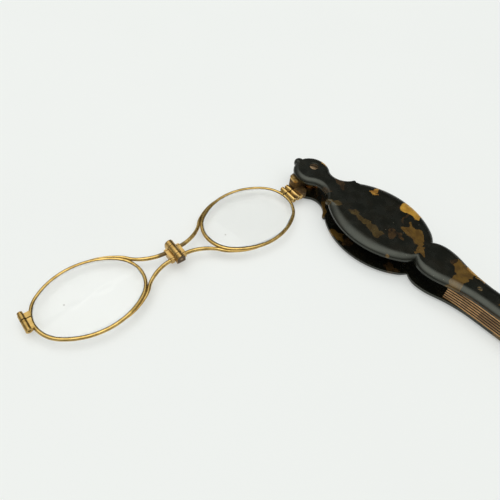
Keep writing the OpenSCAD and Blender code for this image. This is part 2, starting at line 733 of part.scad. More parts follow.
module hinge_spring() {
  n = spring_turns * spring_rings;
  points = [for (i = [0 : n]) for (j = [0 : spring_sides - 1]) coil_point(i, j)];
  faces = concat(
    [[for (j = [spring_sides - 1 : -1 : 0]) j]],
    [for (i = [0 : n - 1]) for (j = [0 : spring_sides - 1]) let (k = (j + 1) % spring_sides)
      [i * spring_sides + j, i * spring_sides + k, (i + 1) * spring_sides + k, (i + 1) * spring_sides + j]],
    [[for (j = [0 : spring_sides - 1]) n * spring_sides + j]]
  );
  color(brass_colour) place_frame() translate([0, 0, hinge_z])
    polyhedron(points = points, faces = faces, convexity = 6);
}

// Far half of the lens frame, a mirror of the near half

module far_side() {
  place_frame() mirror([1, 0, 0]) children();
}

module far_bridge_wires() {
  far_side() bridge_wires();
}

module far_rim() {
  far_side() rim(far_tube_rise);
}

module far_lens() {
  far_side() lens();
}

module far_upper_tube() {
  far_side() closing_tubes(split_top + far_tube_rise, tube_top + far_tube_rise, [tube_x]);
}

module far_lower_tube() {
  far_side() closing_tubes(tube_low + far_tube_rise, split_low + far_tube_rise, [tube_x]);
}

module far_closing_screw() {
  far_side() translate([0, far_tube_rise, 0]) tube_screw(tube_x);
}

front_plate();
back_plate();
reeded_spacer();
handle_rivets();
rivet_tubes();
pivot_screw();
pivot_nut();
upper_washer();
lower_washer();
pivot_arm();
arm_pin();
near_upper_tubes();
near_lower_tube();
near_closing_screw();
near_rim();
near_lens();
near_bridge_wires();
near_hinge();
hinge_pin();
hinge_spring();
far_hinge();
far_bridge_wires();
far_rim();
far_lens();
far_upper_tube();
far_lower_tube();
far_closing_screw();
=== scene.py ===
"""Looks of the folding lorgnette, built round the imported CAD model.

Lengths are metres in the CAD frame, and millimetres inside the mesh builders. The origin is on
the pivot screw's axis at the underside of the case; the handle runs along -Y and the open lens
pair towards -X.
"""
from math import acos, atan2, cos, degrees, hypot, pi, radians, sin, sqrt

import bmesh
import bpy
from mathutils import Matrix, Vector


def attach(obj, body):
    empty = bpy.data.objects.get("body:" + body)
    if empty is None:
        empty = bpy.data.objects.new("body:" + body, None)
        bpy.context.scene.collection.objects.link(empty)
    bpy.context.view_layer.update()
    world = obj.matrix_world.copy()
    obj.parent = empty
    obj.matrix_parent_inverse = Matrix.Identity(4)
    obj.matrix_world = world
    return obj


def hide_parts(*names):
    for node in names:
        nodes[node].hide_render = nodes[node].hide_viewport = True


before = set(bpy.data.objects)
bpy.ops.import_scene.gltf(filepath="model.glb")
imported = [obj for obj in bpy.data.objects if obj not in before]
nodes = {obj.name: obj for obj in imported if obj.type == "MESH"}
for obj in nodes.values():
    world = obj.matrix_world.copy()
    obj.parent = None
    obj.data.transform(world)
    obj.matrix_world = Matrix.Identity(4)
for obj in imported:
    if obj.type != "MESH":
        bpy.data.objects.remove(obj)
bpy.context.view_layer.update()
MM = 0.001

# Sizes of part.scad that several builders and materials share, in millimetres.
SHIFT, PLATE_T, SLOT_H, EDGE = -1.75, 2.2, 6.5, 1.4
MID_Z = PLATE_T + SLOT_H / 2
RIVET_Y, RIVET_PITCH = -75.4, 20.0
HINGE_AT = (-65.4, 5.22)
HINGE_WAY = (0.12360, 0.99233, 0)
# The strip's reeds as the photo shows them; part.scad has more and finer ones.
REEDS, REED_PITCH, REED_DEPTH = 4, 1.14, 0.28


# ---------------------------------------------------------------- material nodes

class Tree:
    """A material's node tree, with short calls for the few kinds of node used here."""

    def __init__(self, name):
        self.material = bpy.data.materials.new(name)
        self.material.use_nodes = True
        self.nodes = self.material.node_tree.nodes
        self.links = self.material.node_tree.links
        self.shader = self.nodes["Principled BSDF"]
        self.coord = self.nodes.new("ShaderNodeTexCoord").outputs["Object"]
        self.mm = self.vector("SCALE", self.coord, scale=1000.0)

    def put(self, socket, value):
        if isinstance(value, bpy.types.NodeSocket):
            self.links.new(value, socket)
        elif value is not None:
            socket.default_value = value

    def vector(self, operation, a, b=None, scale=None):
        n = self.nodes.new("ShaderNodeVectorMath")
        n.operation = operation
        self.put(n.inputs[0], a)
        self.put(n.inputs[1], b)
        if scale is not None:
            self.put(n.inputs["Scale"], scale)
        return n.outputs["Value" if operation in ("LENGTH", "DOT_PRODUCT") else "Vector"]

    def math(self, operation, a, b=None, c=None):
        n = self.nodes.new("ShaderNodeMath")
        n.operation = operation
        for i, value in enumerate((a, b, c)):
            self.put(n.inputs[i], value)
        return n.outputs[0]

    def noise(self, scale, detail=3.0, rough=0.55, colour=False, distortion=0.0):
        n = self.nodes.new("ShaderNodeTexNoise")
        self.put(n.inputs["Vector"], self.mm)
        n.inputs["Scale"].default_value = scale
        n.inputs["Detail"].default_value = detail
        n.inputs["Roughness"].default_value = rough
        n.inputs["Distortion"].default_value = distortion
        return n.outputs["Color" if colour else "Fac"]

    def ramp(self, value, low, high, out_low=0.0, out_high=1.0):
        n = self.nodes.new("ShaderNodeMapRange")
        n.interpolation_type = "SMOOTHSTEP"
        self.put(n.inputs["Value"], value)
        limits = {"From Min": low, "From Max": high, "To Min": out_low, "To Max": out_high}
        for name, limit in limits.items():
            n.inputs[name].default_value = limit
        return n.outputs[0]

    def mix(self, factor, a, b):
        n = self.nodes.new("ShaderNodeMix")
        n.data_type = "RGBA"
        self.put(n.inputs[0], factor)
        self.put(n.inputs[6], rgb(a))
        self.put(n.inputs[7], rgb(b))
        return n.outputs[2]

    def split(self, vector):
        n = self.nodes.new("ShaderNodeSeparateXYZ")
        self.put(n.inputs[0], vector)
        return n.outputs

    def sway(self, value, size):
        """A noise value turned into a number either side of 0."""
        return self.math("MULTIPLY", self.math("SUBTRACT", value, 0.5), size)

    def specks(self, scale, size, share):
        """Round dust specks: the fade at a speck's edge, and at the choice of cells with one."""
        cells = self.nodes.new("ShaderNodeTexVoronoi")
        self.put(cells.inputs["Vector"], self.mm)
        cells.inputs["Scale"].default_value = scale
        return self.math("MULTIPLY", self.ramp(cells.outputs["Distance"], *size),
                         self.ramp(self.split(cells.outputs["Color"])[0], *share))

    def occlusion(self, distance):
        n = self.nodes.new("ShaderNodeAmbientOcclusion")
        n.samples = 8
        n.inputs["Distance"].default_value = distance
        return n.outputs["AO"]

    def bump(self, height, strength, distance):
        n = self.nodes.new("ShaderNodeBump")
        n.inputs["Strength"].default_value = strength
        n.inputs["Distance"].default_value = distance
        self.put(n.inputs["Height"], height)
        self.links.new(n.outputs[0], self.shader.inputs["Normal"])

    def set(self, **values):
        for name, value in values.items():
            self.put(self.shader.inputs[name.replace("_", " ")], rgb(value))


def linear(c):
    c /= 255
    return c / 12.92 if c <= 0.04045 else ((c + 0.055) / 1.055) ** 2.4


def rgb(value):
    """A colour written as (r, g, b) out of 255 becomes linear with alpha; the rest stays."""
    if isinstance(value, tuple) and len(value) == 3:
        return tuple(linear(c) for c in value) + (1.0,)
    return value


# ---------------------------------------------------------------- tortoiseshell

# Clouds in the plates: centre x and y, half size across and along the handle in millimetres, the
# turn in degrees, and how square the shape is (0 for an oval, 1 for a block).
FRONT = {
    "gold": [(10.2, -39.4, 2.5, 4.0, 4, 1), (4.5, -1.2, 1.0, 1.7, 10, 0),
             (3.8, -70.4, 0.95, 3.2, 9, 0)],
    "honey": [(6.6, -24.1, 0.9, 1.5, 0, 1), (8.9, -24.3, 2.0, 0.7, 0, 1),
              (3.1, -69.2, 1.2, 1.6, 0, 0), (2.0, -73.6, 0.5, 1.6, 8, 0)],
    "amber": [(1.9, -45.3, 2.1, 2.6, -8, 1), (1.2, -48.0, 2.5, 2.6, -18, 0),
              (-0.3, -50.4, 1.7, 1.3, -28, 1), (4.3, -43.4, 1.5, 0.5, 12, 0),
              (-2.9, -52.6, 1.9, 1.7, 25, 1), (0.8, -67.8, 2.9, 3.4, 12, 1),
              (-4.6, -68.9, 4.2, 1.9, 0, 1), (-9.0, -68.6, 2.4, 2.0, 0, 0),
              (-14.6, -46.6, 1.2, 0.6, -20, 0)],
    "olive": [(-7.3, -26.2, 0.7, 2.6, -4, 0), (-7.6, -30.5, 1.1, 3.0, 3, 0),
              (-8.5, -35.8, 1.6, 3.2, -8, 1), (-9.3, -38.8, 1.5, 0.8, 30, 0),
              (-8.7, -18.8, 0.8, 2.5, 42, 0), (-10.4, -15.4, 1.3, 1.5, 30, 0)],
    "russet": [(0.8, -11.6, 0.8, 2.4, -8, 0), (0.1, -14.8, 0.9, 1.4, -20, 0),
               (-4.8, -41.3, 1.7, 1.1, 20, 1), (-3.5, -43.9, 1.1, 1.6, -20, 0),
               (5.3, -40.0, 2.6, 0.6, 0, 1), (10.4, -25.8, 0.8, 1.6, 0, 0),
               (-5.6, -11.8, 0.9, 2.0, 20, 0), (-1.4, -50.6, 1.2, 1.4, 0, 0),
               (0.9, -63.3, 0.8, 1.0, 0, 0)],
}
FRONT_WALL = {
    "amber": [(-9.6, -68.8, 3.0, 3.2, 0, 0)],
    "russet": [(-8.0, -73.0, 3.0, 5.4, 0, 0), (-6.5, -87.0, 3.0, 7.5, 0, 0)],
}
BACK = {
    "amber": [(-13.4, -24.3, 1.6, 3.0, 18, 1), (-14.0, -27.2, 1.5, 1.8, 0, 0),
              (-7.4, -13.2, 1.2, 4.6, -58, 0)],
    "russet": [(-13.2, -30.0, 1.8, 1.6, 0, 0), (-10.4, -47.8, 1.8, 2.6, -10, 1),
               (-3.6, -10.2, 1.0, 2.4, -40, 0)],
}
# Light and deep tone of each kind of cloud.
SHADES = {
    "gold": ((184, 140, 54), (158, 116, 44)),
    "honey": ((166, 124, 54), (128, 88, 36)),
    "amber": ((98, 73, 29), (78, 56, 22)),
    "olive": ((70, 56, 27), (56, 43, 20)),
    "russet": ((60, 43, 22), (36, 25, 13)),
}


def tortoiseshell(name, patches, wall_patches, beyond):
    """Near-black shell with sharp-edged clouds; beyond(tree) masks what the photo doesn't show."""
    t = Tree(name)
    half = (0.5, 0.5, 0.5)
    wide = t.vector("SUBTRACT", t.noise(0.42, 0.0, 0.5, colour=True), half)
    fine = t.vector("SUBTRACT", t.noise(1.3, 1.0, 0.5, colour=True), half)
    shift = t.vector("ADD", t.vector("SCALE", wide, scale=3.2), t.vector("SCALE", fine, scale=0.6))
    place = t.vector("MULTIPLY", t.vector("ADD", t.mm, shift), (1, 1, 0))
    cloud = t.noise(0.45, 3.0, 0.55)
    colour = t.mix(t.ramp(t.noise(0.22, 3.0, 0.6), 0.4, 0.66), (13, 14, 9), (20, 18, 11))

    def paint(colour, mask, shade):
        light, deep = SHADES[shade]
        rim = t.mix(t.ramp(mask, 0.02, 0.4), colour, (34, 20, 9))
        inner = t.mix(t.ramp(cloud, 0.36, 0.66), light, deep)
        return t.mix(t.ramp(mask, 0.36, 0.7), rim, inner)

    def spread(group):
        nearest = None
        for x, y, across, along, turn, square in group:
            n = t.nodes.new("ShaderNodeMapping")
            n.vector_type = "TEXTURE"
            t.put(n.inputs["Vector"], place)
            n.inputs["Location"].default_value = (x, y, 0)
            n.inputs["Rotation"].default_value = (0, 0, radians(turn))
            n.inputs["Scale"].default_value = (across, along, 1)
            distance = t.vector("LENGTH", n.outputs[0])
            if square:
                u, v, _ = t.split(t.vector("ABSOLUTE", n.outputs[0]))
                distance = t.math("SMOOTH_MAX", u, v, 0.25)
            nearest = distance if nearest is None else t.math("MINIMUM", nearest, distance)
        return t.ramp(nearest, 1.2, 0.9)

    for shade in ("russet", "olive", "amber", "honey", "gold"):
        if shade in patches:
            colour = paint(colour, spread(patches[shade]), shade)
        if shade in wall_patches:
            wall = t.ramp(t.split(t.mm)[2], 10.1, 9.7)
            colour = paint(colour, t.math("MULTIPLY", spread(wall_patches[shade]), wall), shade)
    hidden = beyond(t)
    large = t.ramp(t.noise(0.16, 3.0, 0.55, distortion=0.6), 0.585, 0.63)
    small = t.ramp(t.noise(0.21, 2.0, 0.5, distortion=0.8), 0.63, 0.67)
    colour = paint(colour, t.math("MULTIPLY", large, hidden), "amber")
    colour = paint(colour, t.math("MULTIPLY", small, hidden), "russet")
    colour = t.mix(t.specks(0.8, (0.10, 0.05), (0.86, 0.9)), colour, (118, 114, 100))
    wear = t.noise(0.3, 3.0, 0.5)
    t.set(Base_Color=colour, Roughness=t.ramp(wear, 0.3, 0.75, 0.22, 0.31), IOR=1.5,
          Specular_Tint=(250, 255, 238))
    t.bump(t.noise(0.12, 2.0), 0.35, 0.00012)
    return t.material


def beyond_front(t):
    """Past the photo's edge."""
    return t.ramp(t.split(t.mm)[1], -82.0, -84.0)


def beyond_back(t):
    """Past the photo's edge, and on the underside."""
    _, y, z = t.split(t.mm)
    return t.math("MAXIMUM", t.ramp(y, -82.0, -84.0), t.ramp(z, 0.75, 0.45))


shell_front = tortoiseshell("shell_front", FRONT, FRONT_WALL, beyond_front)
shell_back = tortoiseshell("shell_back", BACK, {}, beyond_back)


# ---------------------------------------------------------------- metals and glass

def metal(name, light, deep, grime_and_shade, rough=(0.24, 0.42), crevice=0.0007, scale=0.3, extra=None):
    """Old plated or bare metal: tone varies in clouds, and corners and crevices are darkened by
    occlusion as painted shade, mixed with patchy dirt.
    """
    t = Tree(name)
    cloud = t.noise(scale, 4.0, 0.6)
    colour = t.mix(t.ramp(cloud, 0.36, 0.68), light, deep)
    fine = t.noise(2.2, 2.0, 0.6)
    # Painted shade: occlusion darkens corners and crevices towards the grime colour, and noise adds
    # patchy dirt.
    open_sky = t.occlusion(crevice)
    dirt_and_shade = t.math("ADD", t.math("SUBTRACT", 1.0, open_sky), t.sway(fine, 0.15))
    if extra:
        dirt_and_shade = t.math("MAXIMUM", dirt_and_shade, extra(t))
    mask = t.ramp(dirt_and_shade, 0.34, 0.80)
    colour = t.mix(mask, colour, grime_and_shade)
    bare = t.math("SUBTRACT", 1.0, t.math("MULTIPLY", mask, 0.6))
    polish = t.math("ADD", t.ramp(fine, 0.3, 0.7, *rough), t.math("MULTIPLY", mask, 0.3))
    t.set(Base_Color=colour, Metallic=bare, Roughness=polish)
    t.bump(t.noise(0.8, 2.0), 0.2, 0.00005)
    return t.material


def hinge_dirt(t):
    """The barrel's end caps and the joints between its knuckles are brown."""
    axis = t.vector("SUBTRACT", t.mm, (*HINGE_AT, 0))
    v = t.math("ABSOLUTE", t.vector("DOT_PRODUCT", axis, HINGE_WAY))
    joint = t.math("ABSOLUTE", t.math("SUBTRACT", v, 1.95))
    return t.math("ADD", t.ramp(v, 4.0, 4.16, 0.0, 0.72), t.ramp(joint, 0.2, 0.05))


def tube_low_shade(t):
    """Painted shade: the tubes and their soldered webs are darker low down, broken up by noise."""
    z = t.split(t.mm)[2]
    return t.math("MULTIPLY", t.ramp(z, 3.6, 2.6), t.noise(1.2, 2.0))


def wire_dirt(t):
    """The wires are brown where they were soldered to the hinge, most on the knob's side."""
    away = t.vector("SUBTRACT", t.mm, (*HINGE_AT, 4.0))
    v = t.vector("DOT_PRODUCT", away, HINGE_WAY)
    near = t.ramp(t.vector("LENGTH", away), 8.0, 5.0)
    return t.math("MULTIPLY", near, t.ramp(v, 0.2, 1.4, 0.1, 0.62))


def arm_shade_and_highlight(t):
    """A painted highlight leaves the arm's top corner bright, as is its tube; painted shade makes
    its walls and drum brown, the drum less so.
    """
    x, _, z = t.split(t.mm)
    # Painted highlight: the top corner, high up and towards -X, is left bright.
    corner = t.math("MULTIPLY", t.ramp(z, 7.2, 8.2), t.ramp(x, -8.0, -9.6))
    drum = t.ramp(t.vector("LENGTH", t.vector("MULTIPLY", t.mm, (1, 1, 0))), 4.6, 4.2)
    from_tube = t.vector("SUBTRACT", t.mm, (-11.2, 0, 3.85))
    tube = t.ramp(t.vector("LENGTH", t.vector("MULTIPLY", from_tube, (1, 0, 1))), 1.45, 1.2)
    # Painted shade darkens the walls, varied by noise.
    dull = t.math("ADD", 0.66, t.sway(t.noise(0.5, 3.0, 0.6), 0.4))
    bright = t.math("MULTIPLY", t.math("MAXIMUM", corner, tube), 0.6)
    return t.math("SUBTRACT", t.math("SUBTRACT", dull, bright), t.math("MULTIPLY", drum, 0.3))


def reeded_dirt_and_shade(t):
    """The reeds' grooves hold old dirt, some stretches of the strip are stained, and painted shade
    darkens the lips towards the head end, under the plates' edge.
    """
    _, y, z = t.split(t.mm)
    first = MID_Z - REED_PITCH * (REEDS + 1) / 2
    turn = t.math("FRACT", t.math("DIVIDE", t.math("SUBTRACT", z, first), REED_PITCH))
    phase = t.math("ABSOLUTE", t.math("SUBTRACT", turn, 0.5))
    band = t.math("MULTIPLY", t.ramp(z, 2.75, 2.9), t.ramp(z, 8.15, 8.0))
    groove = t.math("MULTIPLY", t.ramp(phase, 0.34, 0.16), band)
    along = t.math("ADD", y, t.sway(t.noise(0.4, 2.0), 3.0))
    middle = t.math("MULTIPLY", t.ramp(along, -72.2, -73.6), t.ramp(along, -77.4, -76.2))
    end = t.math("MULTIPLY", t.ramp(along, -79.6, -80.8), 0.55)
    stain = t.math("MULTIPLY", t.math("ADD", t.math("MULTIPLY", middle, 0.5), end), band)
    # Painted shade, with grime: the lips darken towards the head end, under the plates' overhang.
    lips = t.math("MULTIPLY", t.math("SUBTRACT", 1.0, band), t.ramp(along, -72.0, -70.0, 0.0, 0.45))
    return t.math("MAXIMUM", t.math("MAXIMUM", groove, lips), stain)


def rivet_mark_and_shade(t):
    """A punch mark across each rivet's head, and painted shade darkening its sides."""
    x, y, _ = t.split(t.mm)
    u = t.math("SUBTRACT", x, SHIFT)
    v = t.math("WRAP", t.math("SUBTRACT", y, RIVET_Y), RIVET_PITCH / 2, -RIVET_PITCH / 2)
    across = t.math("ADD", t.math("MULTIPLY", u, 0.8), t.math("MULTIPLY", v, 0.6))
    mark = t.ramp(t.math("ABSOLUTE", across), 0.26, 0.14)
    # Painted shade on the head's sides, beside the punch mark.
    return t.math("MAXIMUM", mark, t.ramp(t.math("ABSOLUTE", u), 0.5, 0.75))


gilt = metal("gilt", (204, 172, 104), (166, 136, 76), (48, 34, 16), rough=(0.18, 0.32))
gilt_dull = metal("gilt_dull", (192, 156, 92), (138, 106, 56), (40, 27, 12),
                  rough=(0.18, 0.36), crevice=0.0009)
wire_gilt = metal("wire_gilt", (204, 172, 104), (166, 136, 76), (48, 33, 18),
                  rough=(0.18, 0.32), extra=wire_dirt)
hinge_gilt = metal("hinge_gilt", (206, 170, 104), (164, 130, 72), (66, 48, 30),
                   rough=(0.2, 0.34), extra=hinge_dirt)
tube_gilt = metal("tube_gilt", (206, 172, 104), (160, 128, 68), (50, 35, 17),
                  rough=(0.18, 0.32), crevice=0.0014, extra=tube_low_shade)
arm_metal = metal("arm_metal", (214, 178, 108), (160, 120, 66), (56, 36, 20),
                  crevice=0.0012, extra=arm_shade_and_highlight)
reeded = metal("reeded_brass", (206, 164, 116), (176, 136, 92), (36, 25, 13),
               rough=(0.3, 0.45), crevice=0.0004, extra=reeded_dirt_and_shade)
rivet_metal = metal("rivet_brass", (150, 130, 92), (110, 92, 62), (22, 18, 12),
                    rough=(0.3, 0.5), extra=rivet_mark_and_shade)
brass = metal("brass", (152, 130, 102), (108, 88, 66), (24, 18, 12), rough=(0.28, 0.45))
copper = metal("copper", (206, 148, 98), (150, 98, 60), (40, 26, 16),
               rough=(0.22, 0.36), crevice=0.0003)
spring = metal("spring_steel", (170, 168, 160), (120, 116, 108), (50, 42, 34))


def lens_glass():
    """Clear glass; lamps shine through it, and a little dust lies on it."""
    t = Tree("lens_glass")
    t.set(Base_Color=(255, 255, 254), Roughness=0.0, IOR=1.5, Specular_IOR_Level=0.2,
          Transmission_Weight=1.0)
    diffuse = t.nodes.new("ShaderNodeBsdfDiffuse")
    diffuse.inputs["Color"].default_value = rgb((120, 108, 84))
    dusty = t.nodes.new("ShaderNodeMixShader")
    t.put(dusty.inputs[0], t.specks(0.22, (0.055, 0.03), (0.72, 0.76)))
    t.links.new(t.shader.outputs[0], dusty.inputs[1])
    t.links.new(diffuse.outputs[0], dusty.inputs[2])
    clear = t.nodes.new("ShaderNodeBsdfTransparent")
    clear.inputs["Color"].default_value = (1.0, 1.0, 1.0, 1)
    path = t.nodes.new("ShaderNodeLightPath")
    both = t.nodes.new("ShaderNodeMixShader")
    t.links.new(path.outputs["Is Shadow Ray"], both.inputs[0])
    t.links.new(dusty.outputs[0], both.inputs[1])
    t.links.new(clear.outputs[0], both.inputs[2])
    t.links.new(both.outputs[0], t.nodes["Material Output"].inputs[0])
    return t.material


glass = lens_glass()


# ---------------------------------------------------------------- mesh helpers

def piece(name, mesh, body, stands_for, material, sharp=35):
    """A finished mesh piece in the CAD frame that stands for CAD nodes."""
    mesh.materials.append(material)
    mesh.shade_smooth()
    mesh.set_sharp_from_angle(angle=radians(sharp))
    obj = bpy.data.objects.new(name, mesh)
    bpy.context.scene.collection.objects.link(obj)
    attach(obj, body)
    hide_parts(*stands_for)
    return obj


def to_mesh(name, bm):
    bmesh.ops.recalc_face_normals(bm, faces=bm.faces)
    mesh = bpy.data.meshes.new(name)
    bm.to_mesh(mesh)
    bm.free()
    return mesh


def ring_faces(bm, a, b):
    n = len(a)
    for i in range(n):
        bm.faces.new((a[i], a[(i + 1) % n], b[(i + 1) % n], b[i]))


def ring(bm, points):
    return [bm.verts.new(Vector(p) * MM) for p in points]


# ---------------------------------------------------------------- case plates

HEAD_R, HEAD_Y, KNOB_R, KNOB_Y = 7.1, -0.5, 2.0, 6.1
NECK, NECK_Y, CUSP_R, CUSP_X = 4.1, -8.6, 1.0, 7.6
OVAL_A, OVAL_B, OVAL_Y = 21.0, 14.9, -34.0
LOBE, LOBE_Y, LOBE_TOP, LOBE_LOW = 7.9, -59.0, 8.8, 20.0
GRIP, GRIP_Y, END_Y = 4.6, -80.0, -122.6
SOFT = 3.0  # how far in the polished rounding reaches along most of the edge
FLAT = 0.9989  # the CAD plate's flat facets lie just inside the arcs
ROUND_STEPS, ROUND_POWER = 18, 1.8


def cross_angle(r1, r2, d):
    """Angle at the first of two circles, from the line of centres to where they cross."""
    return degrees(acos((d * d + r1 * r1 - r2 * r2) / (2 * d * r1)))


def hollow_r(r, x, h, dy):
    """Radius of the hollow that leaves a circle (r, centre x) and is upright at x = h, dy away."""
    return ((h - x) ** 2 + dy * dy - r * r) / (2 * (r - h + x))


def outline():
    """One side of the plates' outline from the knob to the grip's end: point and way inwards."""
    join = degrees(atan2(3, 4))
    k = 2 * (OVAL_A - OVAL_B)
    end_r = OVAL_B - k / 4
    top_y, low_y = OVAL_Y + OVAL_A - end_r, OVAL_Y - OVAL_A + end_r
    neck_r = hollow_r(HEAD_R, 0, NECK, HEAD_Y - NECK_Y)
    neck_join = degrees(atan2(HEAD_Y - NECK_Y, NECK + neck_r))
    cusp_y = top_y + sqrt(end_r ** 2 - CUSP_X ** 2)
    out, down = CUSP_X - NECK, NECK_Y - cusp_y
    flare_r = (out ** 2 + down ** 2 - CUSP_R ** 2) / (2 * (out + CUSP_R))
    flare_join = degrees(atan2(NECK_Y - cusp_y, NECK + flare_r - CUSP_X))
    knob_a = cross_angle(KNOB_R, HEAD_R, KNOB_Y - HEAD_Y) - 90
    head_a = 90 - cross_angle(HEAD_R, KNOB_R, KNOB_Y - HEAD_Y)
    base = degrees(atan2(top_y - cusp_y, -CUSP_X))
    cusp_a = base + cross_angle(CUSP_R, end_r, end_r)
    oval_a = base + 180 - cross_angle(end_r, CUSP_R, end_r)
    lobe_x = LOBE - LOBE_TOP
    gap = hypot(lobe_x, LOBE_Y - low_y)
    base = degrees(atan2(LOBE_Y - low_y, lobe_x))
    notch_a = base + cross_angle(end_r, LOBE_TOP, gap)
    lobe_a = base + 180 - cross_angle(LOBE_TOP, end_r, gap)
    low_x = LOBE - LOBE_LOW
    grip_r = hollow_r(LOBE_LOW, low_x, GRIP, LOBE_Y - GRIP_Y)
    grip_join = degrees(atan2(LOBE_Y - GRIP_Y, GRIP + grip_r - low_x))
    small = 0.85 * CUSP_R
    # centre, radius, from, to, hollow, way inwards at both ends
    arcs = [
        ((0, KNOB_Y), KNOB_R, 90, knob_a, 0, 1.5, 1.5),
        ((0, HEAD_Y), HEAD_R, head_a, -neck_join, 0, 1.6, 2.4),
        ((NECK + neck_r, NECK_Y), neck_r, 180 - neck_join, 180, 1, 2.4, 2.2),
        ((NECK + flare_r, NECK_Y), flare_r, 180, 180 + flare_join, 1, 2.2, small),
        ((CUSP_X, cusp_y), CUSP_R, flare_join, cusp_a, 0, small, small),
        ((0, top_y), end_r, oval_a, join, 0, small, SOFT),
        ((-k, OVAL_Y), OVAL_B + k, join, 0, 0, SOFT, 4.4),
        ((-k, OVAL_Y), OVAL_B + k, 0, -join, 0, 4.4, SOFT),
        ((0, low_y), end_r, -join, notch_a, 0, SOFT, 1.8),
        ((lobe_x, LOBE_Y), LOBE_TOP, lobe_a, 0, 0, 1.8, SOFT),
        ((low_x, LOBE_Y), LOBE_LOW, 0, -grip_join, 0, SOFT, SOFT),
        ((GRIP + grip_r, GRIP_Y), grip_r, 180 - grip_join, 180, 1, SOFT, SOFT),
        ((0, END_Y + GRIP), GRIP, 0, -90, 0, SOFT, SOFT),
    ]
    points = []
    for (cx, cy), r, a0, a1, hollow, e0, e1 in arcs:
        n = max(6, int(abs(a1 - a0) / 3), int(abs(radians(a1 - a0)) * r / 0.7))
        for i in range(n + 1):
            a = radians(a0 + (a1 - a0) * i / n)
            e = (e0 + (e1 - e0) * i / n) * (-1 if hollow else 1)
            points.append([cx + r * cos(a), cy + r * sin(a), -e * cos(a), -e * sin(a)])
    clean = [points[0]]
    for p in points[1:]:
        q = clean[-1]
        if hypot(p[0] - q[0], p[1] - q[1]) > 1e-4:
            clean.append(p)
            continue
        # two arcs meet here: in a corner the way inwards leads along the mitre
        e = (hypot(p[2], p[3]) + hypot(q[2], q[3])) / 2
        u, v = Vector(p[2:]).normalized(), Vector(q[2:]).normalized()
        d = (u + v) / (1 + u.dot(v))
        q[2], q[3] = e * d.x, e * d.y
    clean[-1][2] = 0.0
    return clean


def hole_ring(x, y, r, z, n=48):
    return [(x + r * cos(2 * pi * i / n), y + r * sin(2 * pi * i / n), z) for i in range(n)]


def plate(name, node, inner_z, up, holes, material):
    """A plate from its flat inner face to its polished outer face, with stepped holes.

    holes: (x, y, [(radius, height over the inner face), ...]) from the outer face inwards.
    """
    half = [[FLAT * x, y, dx, dy] for x, y, dx, dy in outline()]
    loop = half + [[-x, y, -dx, dy] for x, y, dx, dy in half[-2:0:-1]]
    # height over the inner face, and how much of the way inwards the edge has gone
    levels = [(0.0, 0.05), (0.1, 0.0), (PLATE_T - EDGE, 0.0)]
    for i in range(1, ROUND_STEPS + 1):
        s = (i / ROUND_STEPS) ** 2
        rise = (1 - (1 - s) ** ROUND_POWER) ** (1 / ROUND_POWER)
        levels.append((PLATE_T - EDGE + EDGE * rise, s))
    bm = bmesh.new()

    def level(z, share):
        return [(x + share * dx + SHIFT, y + share * dy, inner_z + up * z) for x, y, dx, dy in loop]

    rings = [ring(bm, level(z, share)) for z, share in levels]
    for a, b in zip(rings, rings[1:]):
        ring_faces(bm, a, b)

    def ring_edges(verts):
        return [bm.edges.get((v, verts[(i + 1) % len(verts)])) for i, v in enumerate(verts)]

    inner_face, outer_face = ring_edges(rings[0]), ring_edges(rings[-1])
    for x, y, steps in holes:
        bore = [ring(bm, hole_ring(x, y, r, inner_z + up * z)) for r, z in steps]
        for a, b in zip(bore, bore[1:]):
            ring_faces(bm, a, b)
        outer_face += ring_edges(bore[0])
        inner_face += ring_edges(bore[-1])
    for edges in (inner_face, outer_face):
        bmesh.ops.triangle_fill(bm, use_beauty=True, use_dissolve=False, edges=edges)
    obj = piece(name, to_mesh(name, bm), "root", [node], material, sharp=32)
    weighted = obj.modifiers.new("weighted", "WEIGHTED_NORMAL")
    weighted.keep_sharp = True
    weighted.weight = 100
    return obj


RIVETS = [(SHIFT, RIVET_Y - RIVET_PITCH * i) for i in range(3)]
SCREW_HOLE = [(1.95, 2.2), (1.72, 2.0), (1.69, 1.15), (1.05, 1.15), (1.05, 0.0)]
NUT_HOLE = [(2.36, 2.2), (2.32, 2.16), (2.32, 1.55), (1.62, 1.55), (1.62, 0.0)]
RIVET_HOLE = [(0.87, 1.7), (0.62, 1.7), (0.62, 0.0)]
front_holes = [(0, 0, SCREW_HOLE)]
front_holes += [(x, y, [(1.0, 2.2), (0.87, 2.08)] + RIVET_HOLE) for x, y in RIVETS]
back_holes = [(0, 0, NUT_HOLE)]
back_holes += [(x, y, [(0.92, 2.2), (0.87, 2.15)] + RIVET_HOLE) for x, y in RIVETS]
plate("front_shell", "front_plate", PLATE_T + SLOT_H, 1, front_holes, shell_front)
plate("back_shell", "back_plate", PLATE_T, -1, back_holes, shell_back)


STRIP_Y, STRIP_BACK, STRIP_INSET = -67.6, 1.45, 0.15
REED_STEPS, GROOVE = 12, 0.38  # points to a reed, and half a groove's share of the pitch


def strip_section(inset, back):
    """Closed section of the brass strip, as depth behind the plates' edge and height."""
    low, high, chamfer = PLATE_T, PLATE_T + SLOT_H, 0.06
    face = [(inset + chamfer, low), (inset, low + 0.07)]
    for i in range((REEDS + 1) * REED_STEPS + 1):
        u = (i / REED_STEPS) % 1 - 0.5
        z = MID_Z + REED_PITCH * (i / REED_STEPS - (REEDS + 1) / 2)
        dip = cos(pi / 2 * u / GROOVE) if abs(u) < GROOVE else 0.0
        face.append((inset + REED_DEPTH * dip, z))
    return face + [(inset, high - 0.07), (inset + chamfer, high), (back, high), (back, low)]


